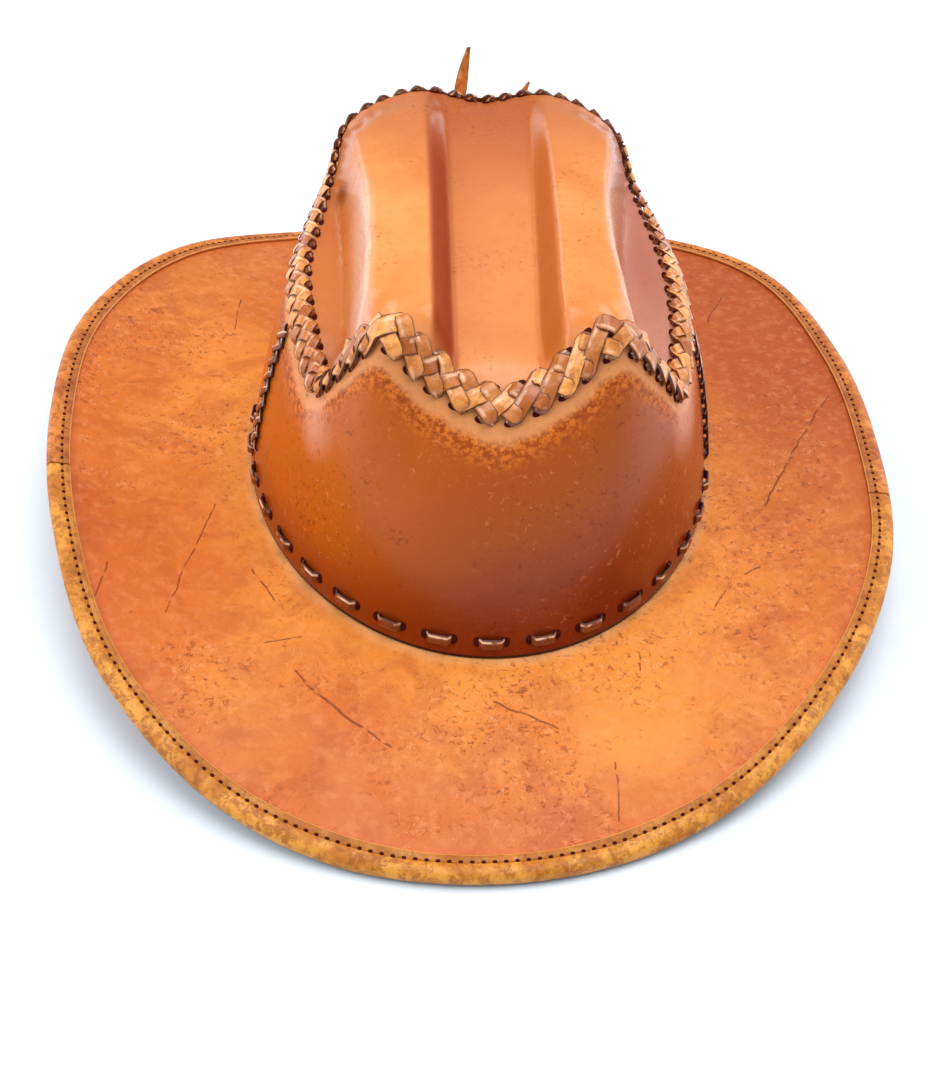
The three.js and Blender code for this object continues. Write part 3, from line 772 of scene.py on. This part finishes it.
def tip_leather():
    """Wet-moulded and polished hide: bright ridges, the deeper orange in channel and dents
    painted shade, and painted highlights and reflections beside the ridges.
    """
    material, tree, shader = new_material("moulded_tip")
    place = object_place(tree)
    shade = node(tree, "ShaderNodeAttribute", attribute_name="shade").outputs["Fac"]
    cloud = spread(tree, noise(tree, place, 34, 3.0, 0.55, 0.5), 0.34, 0.66)
    colour = mix(tree, cloud, "#D67E3C", "#E89856")
    middle = along_axis(tree, place, (1, 0, 0), -25, -14)
    middle = maths(tree, "MULTIPLY", middle, along_axis(tree, place, (-1, 0, 0), -29, -18))
    colour = tint(tree, colour, middle, 0.4, "#E89460")
    # Darker towards the back: painted shade, where the polished tip reflects less light.
    back = along_axis(tree, place, (0, 1, 0), 2, 84)
    strong = spread(tree, middle, 0, 1, 0.72, 0.95)
    colour = tint(tree, colour, back, strong, "#A8562C")
    # Painted shade on the channel's walls and in the dents, darker on the left than on the
    # right.
    painted_shade_colour = mix(tree, along_axis(tree, place, (1, 0, 0), -5, 5), "#963800", "#B25A00")
    colour = mix(tree, shade, colour, painted_shade_colour)
    # Pinkish grey over the right dent: a painted reflection on its gloss.
    right = along_axis(tree, place, (1, 0, 0), 44, 52)
    colour = tint(tree, colour, right, 0.55, "#B88886")
    # A pale line along each ridge's outer edge: a painted highlight.
    ridge_highlight = node(tree, "ShaderNodeAttribute", attribute_name="ridge_highlight").outputs["Fac"]
    colour = tint(tree, colour, ridge_highlight, 0.55, "#E8CEC6")
    fine = spread(tree, noise(tree, place, 2.0, 4.0, 0.65), 0.45, 0.75)
    colour = tint(tree, colour, fine, 0.22, "#C2601F")
    small = specks(tree, place, 22, 0.8, 0.58, 0.64)
    colour = tint(tree, colour, small, 0.6, "#7E3410")
    # A darker patch in the left dent, towards the back.
    dent_patch_distance = ragged(tree, distance_to(tree, place, -0.05, 0.036, 0.106), place, 6, 6 * MM)
    dark = spread(tree, dent_patch_distance, 11 * MM, 4 * MM)
    colour = tint(tree, colour, dark, 0.7, "#7A2C06")
    tree.links.new(colour, shader.inputs["Base Color"])
    dull = spread(tree, shade, 0.45, 0.8, 0, 0.5)
    tree.links.new(maths(tree, "ADD", spread(tree, fine, 0, 1, 0.26, 0.36), dull),
                   shader.inputs["Roughness"])
    shader.inputs["Specular IOR Level"].default_value = 0.25
    shader.inputs["Coat Weight"].default_value = 0.07
    shader.inputs["Coat Roughness"].default_value = 0.18
    leather_bump(tree, shader, place, 1.0, 8.0, 0.16)
    return material


def binding_leather(name, light, dark, spot):
    """A folded strip of thinner hide, worn pale along its inner edge, its waxed finish mottled,
    with painted shade under its fold.
    """
    material, tree, shader = new_material(name)
    place = object_place(tree)
    cloud = spread(tree, noise(tree, place, 7, 6.0, 0.72, 0.4), 0.4, 0.6)
    colour = mix(tree, cloud, dark, light)
    fine = spread(tree, noise(tree, place, 1.8, 5.0, 0.74, 0.5), 0.47, 0.6)
    colour = tint(tree, colour, fine, 0.7, spot)
    across = uv_axis(tree, "Y")
    inner = spread(tree, across, 0.79, 0.82)
    colour = tint(tree, colour, inner, 0.4, spot)
    worn = spread(tree, across, 0.95, 0.98)
    colour = tint(tree, colour, worn, 0.7, "#EBAA60")
    # The lower side of the fold painted near-black: painted shade under the binding's edge.
    under = spread(tree, across, 0.49, 0.455)
    colour = mix(tree, under, colour, "#2E1A10")
    tree.links.new(colour, shader.inputs["Base Color"])
    tree.links.new(spread(tree, cloud, 0, 1, 0.52, 0.4), shader.inputs["Roughness"])
    shader.inputs["Specular IOR Level"].default_value = 0.35
    leather_bump(tree, shader, place, 0.9, 2.6, 0.4)
    return material


def thong_leather(name, light, dark, edge, glint_amount):
    """Flat-cut thong: pale grain side, dark cut edges, painted shadow at its ends, and a
    painted glint along one edge.
    """
    material, tree, shader = new_material(name)
    place = object_place(tree)
    tone = node(tree, "ShaderNodeAttribute", attribute_name="tone").outputs["Fac"]
    cloud = noise(tree, place, 5, 4.0, 0.7)
    level = maths(tree, "ADD", maths(tree, "MULTIPLY", tone, 0.75),
                  maths(tree, "MULTIPLY", cloud, 0.5))
    colour = mix(tree, spread(tree, level, 0.22, 0.95), dark, light)
    fine = spread(tree, noise(tree, place, 1.6, 5.0, 0.75), 0.44, 0.62)
    colour = tint(tree, colour, fine, 0.6, dark)
    side = maths(tree, "ABSOLUTE", maths(tree, "SUBTRACT", uv_axis(tree, "Y"), 0.5))
    colour = mix(tree, spread(tree, side, 0.41, 0.48), colour, edge)
    # Darker towards each end, where the thong dives into its hole: painted shadow.
    ends = maths(tree, "ABSOLUTE", maths(tree, "SUBTRACT", uv_axis(tree, "X"), 0.5))
    colour = tint(tree, colour, spread(tree, ends, 0.4, 0.5), 0.8, edge)
    # A pale line near one long edge of the thong: a painted glint.
    line = maths(tree, "MULTIPLY", spread(tree, uv_axis(tree, "Y"), 0.6, 0.72),
                 spread(tree, uv_axis(tree, "Y"), 0.9, 0.8))
    glint = maths(tree, "MULTIPLY", line, spread(tree, noise(tree, place, 2.5, 3.0), 0.42, 0.6))
    colour = tint(tree, colour, glint, glint_amount, "#FFD9B4")
    tree.links.new(colour, shader.inputs["Base Color"])
    shader.inputs["Roughness"].default_value = 0.28
    shader.inputs["Coat Weight"].default_value = 0.18
    shader.inputs["Coat Roughness"].default_value = 0.15
    leather_bump(tree, shader, place, 0.8, 2.0, 0.5)
    return material


def plain_finish(name, light, dark, rough):
    """Waxed thread, or the dark mouth of a punched hole, which is painted shade."""
    material, tree, shader = new_material(name)
    place = object_place(tree)
    cloud = noise(tree, place, 1.2, 2.0)
    tree.links.new(mix(tree, cloud, dark, light), shader.inputs["Base Color"])
    shader.inputs["Roughness"].default_value = rough
    shader.inputs["Specular IOR Level"].default_value = 0.1
    return material


BRIM_FINISH = brim_leather()
WALL_FINISH = wall_leather()
TIP_FINISH = tip_leather()
BIND_FRONT_FINISH = binding_leather("binding_ochre", "#E0983A", "#BE701E", "#965212")
BIND_BACK_FINISH = binding_leather("binding_orange", "#D8863A", "#B66426", "#863E12")
BRAID_FINISH = thong_leather("plaited_thong", "#F6A452", "#A8561A", "#58260A", 0.55)
LACE_FINISH = thong_leather("running_thong", "#9A481E", "#64260A", "#340E08", 0.9)
# The holes' mouths are dark beads: painted shade inside each hole.
HOLE_SHADE_FINISH = plain_finish("punched_hole_shade", "#56100A", "#2C0804", 0.8)
THREAD_FINISH = plain_finish("waxed_thread", "#CC8636", "#8A4614", 0.6)


# Pieces

def brim():
    """The brim's sheet, with its flange turned up inside the crown."""
    brim_share = 0.88
    top_drop = BIND_THICK + GAP
    foot_inset = CROWN_LEATHER + GAP + FLANGE_CLEAR

    def shape(u, v):
        turn = u * math.tau
        if v <= brim_share:
            length = brim_length(turn) - BIND_LIP
            inset = BIND_LIP + v / brim_share * (length + foot_inset)
            point = brim_top(turn, inset)
            point.z = max(point.z, EDGE_DEPTH) - top_drop
            return point
        share = (v - brim_share) / (1 - brim_share)
        foot = base_height(turn) - top_drop
        return head_oval(turn, foot_inset + COLLAR_LEAN * share, foot + COLLAR_HEIGHT * share)

    piece = sheet("leather_brim", 360, 50, shape, BRIM_FINISH, BRIM_LEATHER, wrap=True)
    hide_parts("brim")


def binding(name, from_degrees, to_degrees, node_name, finish, columns):
    """One length of the strip, from its lower side round the brim's edge to its upper side."""
    trim = 0.15 / HEAD_HALF_WIDTH
    start = math.radians(from_degrees) + trim
    end = math.radians(to_degrees) - trim

    def shape(u, v):
        turn = start + (end - start) * u
        radius = EDGE_DEPTH / 2
        flat = BIND_WIDTH - radius
        if v < 0.4:
            inset, drop = BIND_WIDTH - flat * v / 0.4, EDGE_DEPTH
        elif v < 0.6:
            angle = (v - 0.4) / 0.2 * math.pi
            inset = radius * (1 - math.sin(angle))
            drop = radius * (1 + math.cos(angle))
        else:
            inset, drop = radius + flat * (v - 0.6) / 0.4, 0
            drop += 0.3 * math.exp(-((inset - STITCH_INSET) / 0.7) ** 2)
            drop += 0.35 * smoothstep(inset, BIND_WIDTH - 0.9, BIND_WIDTH)
        point = brim_top(turn, inset)
        point.z = max(point.z, EDGE_DEPTH) - drop
        return point

    piece = sheet(name, columns, 30, shape, finish, BIND_THICK)
    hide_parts(node_name)


def binding_stitches():
    """A stitch and a hole in turn, all along the groove in the binding's upper side."""
    thread, holes = bmesh.new(), bmesh.new()
    steps = 720
    turns = [math.tau * i / steps for i in range(steps + 1)]
    lengths = lengths_along([brim_top(turn, STITCH_INSET) for turn in turns])
    count = round(lengths[-1] / STITCH_PITCH)
    for k in range(count):
        # The holes between the stitches are dark beads: painted shade inside them.
        for offset, bm, size, sink in ((0.0, thread, (2.3, 0.85, 0.6), 0.22),
                                       (0.5, holes, (1.7, 1.35, 0.5), 0.26)):
            turn = look_up(lengths, turns, (k + offset) / count * lengths[-1])
            point = brim_top(turn, STITCH_INSET)
            point.z = max(point.z, EDGE_DEPTH)
            along = brim_top(turn + 0.01, STITCH_INSET) - brim_top(turn - 0.01, STITCH_INSET)
            inward = brim_top(turn, STITCH_INSET + 1) - brim_top(turn, STITCH_INSET - 1)
            normal = along.cross(inward).normalized()
            add_bead(bm, point - normal * sink, normal, along, size)
    stitches = finish_mesh("binding_stitches", thread, THREAD_FINISH)
    mouths = finish_mesh("binding_stitch_holes", holes, HOLE_SHADE_FINISH)


def panel(name, from_row, to_row, node_name, columns):
    """One wall panel. Its mask is the distance below the seam, in tenths of a metre."""

    def row_of(u):
        return from_row + PANEL_SLIT + (to_row - from_row - 2 * PANEL_SLIT) * u

    def shape(u, v):
        return wall_point(row_of(u), v * (1 - SEAM_GAP / WALL_RISE))

    def below(u, v, point):
        return (point - seam_point(row_of(u))).length / 100

    piece = sheet(name, columns, 44, shape, WALL_FINISH, CROWN_LEATHER,
                  masks={"shade": below})
    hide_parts(node_name)


def tip_shade(x, y):
    """How much painted shade lies on the tip: up to 0.4 in the dents, and up to 1 on the
    channel's walls, more on the left wall than the right.
    """
    half = through_rows(TIP, 6, y)
    side = x - through_rows(TIP, 5, y)
    inner, outer = half - CHANNEL_WALL - 2, half - 0.3
    if side < 0:
        outer += 1.8
    channel = smoothstep(abs(side), inner, inner + 4)
    channel *= 1 - smoothstep(abs(side), outer - 2.4, outer)
    if side > 0:
        channel *= 0.85
    length = smoothstep(y, -74, -58) * (1 - 0.85 * smoothstep(y, 40, 90))
    outside = through_rows(TIP, 4, y)
    dent = smoothstep(abs(x - RIDGES_X), outside + 1, outside + 9)
    return clamp(channel * length + dent * 0.4, 0, 1)


def tip_ridge_highlight(x, y):
    """How near a point lies to a ridge's outer edge, where a pale highlight is painted, from 0
    to 1.
    """
    past = abs(x - RIDGES_X) - through_rows(TIP, 4, y)
    band = smoothstep(past, -3.5, 1.5) * (1 - smoothstep(past, 2, 7))
    return band * smoothstep(y, -66, -50) * (1 - smoothstep(y, -5, 50))


def crown_tip():
    """The moulded tip, drawn in by the seam's gap."""
    shrink = 1 - SEAM_GAP / TIP_REACH

    def shape(u, v):
        return tip_point((2 * u - 1) * shrink, (2 * v - 1) * shrink)

    piece = sheet("moulded_tip", 150, 130, shape, TIP_FINISH, CROWN_LEATHER, masks={
        "shade": lambda u, v, point: tip_shade(point.x, point.y),
        # The second mask places the painted highlight along the ridges' edges.
        "ridge_highlight": lambda u, v, point: tip_ridge_highlight(point.x, point.y)})
    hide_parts("crown_top")


def braid_width(row):
    """Width of the plait, which is narrower where its thongs lie closer."""
    return BRAID_WIDTH / closeness(row)


def top_braid():
    """Flat thongs that cross in a plait over the seam, one hole for each at either side."""
    straps, holes = new_sheet_mesh(), bmesh.new()
    chance = random.Random(SEED)
    count = round(SEAM_LENGTH / BRAID_PITCH)
    pitch = SEAM_LENGTH / count
    middle = BRAID_CLEAR + THONG_THICK + WEAVE_RISE

    def thong(index, slant):
        wobble = chance.uniform(-0.5, 0.5)

        def path(t):
            x = t - 0.5
            row = row_at(index * pitch + wobble + slant * x * BRAID_SPAN * pitch)
            point, normal = band_point(row, x * braid_width(row) - plait_shift(row))
            weave = slant * WEAVE_RISE * math.cos(3 * math.pi * x)
            sink = 1.9 * smoothstep(abs(x), 0.4, 0.5)
            return point + normal * (middle + weave - sink), normal

        def with_side(t):
            point, normal, side = strap_side(path, t)
            taper = 1 - 0.55 * smoothstep(abs(t - 0.5), 0.36, 0.5)
            return point, normal, side * taper

        width = THONG_WIDTH / closeness(row_at(index * pitch)) * chance.uniform(0.9, 1.08)
        add_strap(straps, with_side, width, 14, 0.06, chance.random())

    for i in range(count):
        for slant in (1, -1):
            thong(i, slant)
        for side in (-1, 1):
            row = row_at(i * pitch + side * BRAID_SPAN / 2 * pitch)
            point, normal = band_point(row, side * braid_width(row) * 0.5 - plait_shift(row))
            along = seam_point(row + 0.05) - seam_point(row - 0.05)
            # Each hole is a dark bead: painted shade inside it.
            add_bead(holes, point + normal * 0.1, normal, along, (3.4, 2.2, 0.7))
    piece = straps_piece("plaited_braid", straps, BRAID_FINISH)
    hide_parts("top_braid")
    mouths = finish_mesh("braid_holes", holes, HOLE_SHADE_FINISH)


def base_lace():
    """A thong that runs in and out of slots round the foot of the crown."""
    straps, holes = new_sheet_mesh(), bmesh.new()

    def lace_up(row):
        up = 0.05
        for _ in range(4):
            up *= BASE_LACE_RISE / (wall_point(row, up).z - wall_point(row, 0).z)
        return up

    rows = rows_round(880)
    lengths = lengths_along([wall_point(row, lace_up(row)) for row in rows])
    count = round(lengths[-1] / BASE_PITCH)

    def row_of(length):
        return look_up(lengths, rows, length % lengths[-1])

    for k in range(count):
        centre = k / count * lengths[-1]

        def path(t, centre=centre):
            row = row_of(centre + (t - 0.5) * BASE_STITCH)
            up = lace_up(row)
            normal = wall_normal(row, up)
            rise = THONG_THICK + 0.9 - 2.0 * smoothstep(abs(t - 0.5), 0.32, 0.5)
            side = (wall_point(row, up + 0.01) - wall_point(row, up - 0.01)).normalized()
            return wall_point(row, up) + normal * rise, normal, side

        add_strap(straps, path, BASE_THONG, 12, 0.35)
        for end in (-0.5, 0.5):
            row = row_of(centre + end * (BASE_STITCH + 0.5))
            up = lace_up(row)
            normal = wall_normal(row, up)
            along = wall_point(row + 0.05, up) - wall_point(row - 0.05, up)
            # Each slot's mouth is a dark bead: painted shade inside it.
            add_bead(holes, wall_point(row, up) + normal * 0.1, normal, along, (2.8, 4.2, 0.8))
    piece = straps_piece("running_thong", straps, LACE_FINISH)
    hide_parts("base_lace")
    mouths = finish_mesh("running_thong_slots", holes, HOLE_SHADE_FINISH)


def side_lace(name, row, node_name):
    """Crossed thongs that close the joint between the two wall panels."""
    straps = new_sheet_mesh()
    low_up, high_up = 0.17, 0.785
    length = (wall_point(row, high_up) - wall_point(row, low_up)).length
    count = round(length / SIDE_PITCH)
    along_row = (wall_point(row + 0.05, 0.5) - wall_point(row - 0.05, 0.5)).length / 0.1
    for k in range(count):
        for slant in (-1, 1):

            def path(t, k=k, slant=slant):
                x = t - 0.5
                up = low_up + (high_up - low_up) * (k + 0.5 + x * slant * 1.2) / count
                here = row + x * SIDE_WIDTH / along_row
                normal = wall_normal(here, up)
                rise = 0.55 + THONG_THICK + slant * 0.35 - 1.0 * smoothstep(abs(x), 0.38, 0.5)
                return wall_point(here, up) + normal * rise, normal

            add_strap(straps, lambda t, path=path: strap_side(path, t), 2.6, 10)
    piece = straps_piece(name, straps, LACE_FINISH)
    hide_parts(node_name)


# The two thong ends: their names, place, heights of foot and tip, width, and lean
LACE_ENDS = [
    ("thong_end_tall", "lace_end_tall", -8.5, 100.2, 104, 135.5, 5.0, 3),
    ("thong_end_short", "lace_end_short", 14.5, 100.2, 104, 122, 4.0, 4),
]


def lace_end(name, node_name, x, y, foot, tip, width, lean):
    """A pointed end of thong that stands up behind the seam."""
    bm = new_sheet_mesh()

    def path(t):
        point = Vector((x + lean * t * t, y - 0.1, foot + (tip - foot) * t))
        half = 0.35 + 0.65 * math.sin(math.pi * clamp(t * 0.9 + 0.12, 0, 1))
        return point, Vector((0, -1, 0)), Vector((-1, 0, 0)) * half

    add_strap(bm, path, width, 18, 0.3)
    piece = straps_piece(name, bm, BRAID_FINISH)
    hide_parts(node_name)


brim()
binding("folded_binding_front", -BINDING_JOINT, BINDING_JOINT, "binding_front",
        BIND_FRONT_FINISH, 200)
binding("folded_binding_back", BINDING_JOINT, 360 - BINDING_JOINT, "binding_back",
        BIND_BACK_FINISH, 240)
binding_stitches()
panel("wall_front", -PANEL_JOINT_ROW, PANEL_JOINT_ROW, "crown_front", 190)
panel("wall_back", PANEL_JOINT_ROW, SEAM_COUNT - PANEL_JOINT_ROW, "crown_back", 190)
crown_tip()
top_braid()
base_lace()
side_lace("joint_lacing_right", PANEL_JOINT_ROW, "side_lace_right")
side_lace("joint_lacing_left", -PANEL_JOINT_ROW, "side_lace_left")
for row_of_end in LACE_ENDS:
    lace_end(*row_of_end)


# Stage, light and camera

def floor():
    """A pale floor under the hat, which belongs to the stage."""
    bm = bmesh.new()
    bmesh.ops.create_grid(bm, x_segments=1, y_segments=1, size=4.0)
    mesh = bpy.data.meshes.new("floor")
    bm.to_mesh(mesh)
    bm.free()
    plane = bpy.data.objects.new("floor", mesh)
    bpy.context.scene.collection.objects.link(plane)
    material, tree, shader = new_material("pale_floor")
    shader.inputs["Base Color"].default_value = linear("#E6F1FB")
    shader.inputs["Roughness"].default_value = 0.6
    mesh.materials.append(material)


def aim(thing, target):
    direction = Vector(target) - thing.location
    thing.rotation_euler = direction.to_track_quat("-Z", "Y").to_euler()


def soft_box(name, place, target, width, height, watts, colour="#FFFFFF"):
    light = bpy.data.lights.new(name, "AREA")
    light.shape = "RECTANGLE"
    light.size = width
    light.size_y = height
    light.energy = watts
    light.color = linear(colour)[:3]
    thing = bpy.data.objects.new(name, light)
    thing.location = place
    bpy.context.scene.collection.objects.link(thing)
    aim(thing, target)


def studio():
    """A white surround and five large soft lamps."""
    world = bpy.data.worlds.new("studio")
    bpy.context.scene.world = world
    world.use_nodes = True
    background = world.node_tree.nodes["Background"]
    background.inputs["Color"].default_value = (1, 1, 1, 1)
    background.inputs["Strength"].default_value = 0.38
    soft_box("overhead", (0.1, 0.0, 1.3), (0, 0, 0.05), 1.2, 0.9, 13)
    soft_box("front_left", (-1.05, -0.4, 0.85), (0, 0, 0.05), 0.9, 0.9, 8)
    soft_box("right_side", (1.1, -0.15, 0.65), (0, 0, 0.08), 0.7, 0.9, 3.2, "#FFF4F2")
    soft_box("back_right", (1.0, 0.95, 0.5), (0, 0, 0.1), 1.3, 0.8, 7, "#FFF2F2")
    soft_box("back_left", (-1.0, 0.95, 0.5), (0, 0, 0.1), 1.3, 0.8, 7, "#FFF2F2")


def camera():
    """The camera at the photograph's place, aimed so that the frame matches its pixels."""
    azimuth, elevation = math.radians(VIEW_AZIMUTH), math.radians(VIEW_ELEVATION)
    back = Vector((math.sin(azimuth) * math.cos(elevation),
                   -math.cos(azimuth) * math.cos(elevation), math.sin(elevation)))
    forward = -back
    right = forward.cross(Vector((0, 0, 1))).normalized()
    up = right.cross(forward)
    roll = math.radians(VIEW_ROLL)
    right, up = (right * math.cos(roll) + up * math.sin(roll),
                 up * math.cos(roll) - right * math.sin(roll))
    column = (AIM_COLUMN - FRAME_WIDTH / 2) / FOCAL_PIXELS
    line = -(AIM_ROW - FRAME_HEIGHT / 2) / FOCAL_PIXELS
    pan = math.atan(column)
    tilt = math.atan(line * math.cos(pan))
    forward, right = (forward * math.cos(pan) - right * math.sin(pan),
                      right * math.cos(pan) + forward * math.sin(pan))
    forward, up = (forward * math.cos(tilt) - up * math.sin(tilt),
                   up * math.cos(tilt) + forward * math.sin(tilt))
    data = bpy.data.cameras.new("photograph_view")
    data.sensor_width = SENSOR
    data.lens = FOCAL_PIXELS * SENSOR / FRAME_HEIGHT
    thing = bpy.data.objects.new("photograph_view", data)
    place = placed(back * VIEW_DISTANCE)
    turn = Matrix((right, up, -forward)).transposed().to_4x4()
    thing.matrix_world = Matrix.Translation(place) @ turn
    bpy.context.scene.collection.objects.link(thing)
    bpy.context.scene.camera = thing


floor()
studio()
camera()
bpy.context.scene.view_settings.view_transform = "Standard"
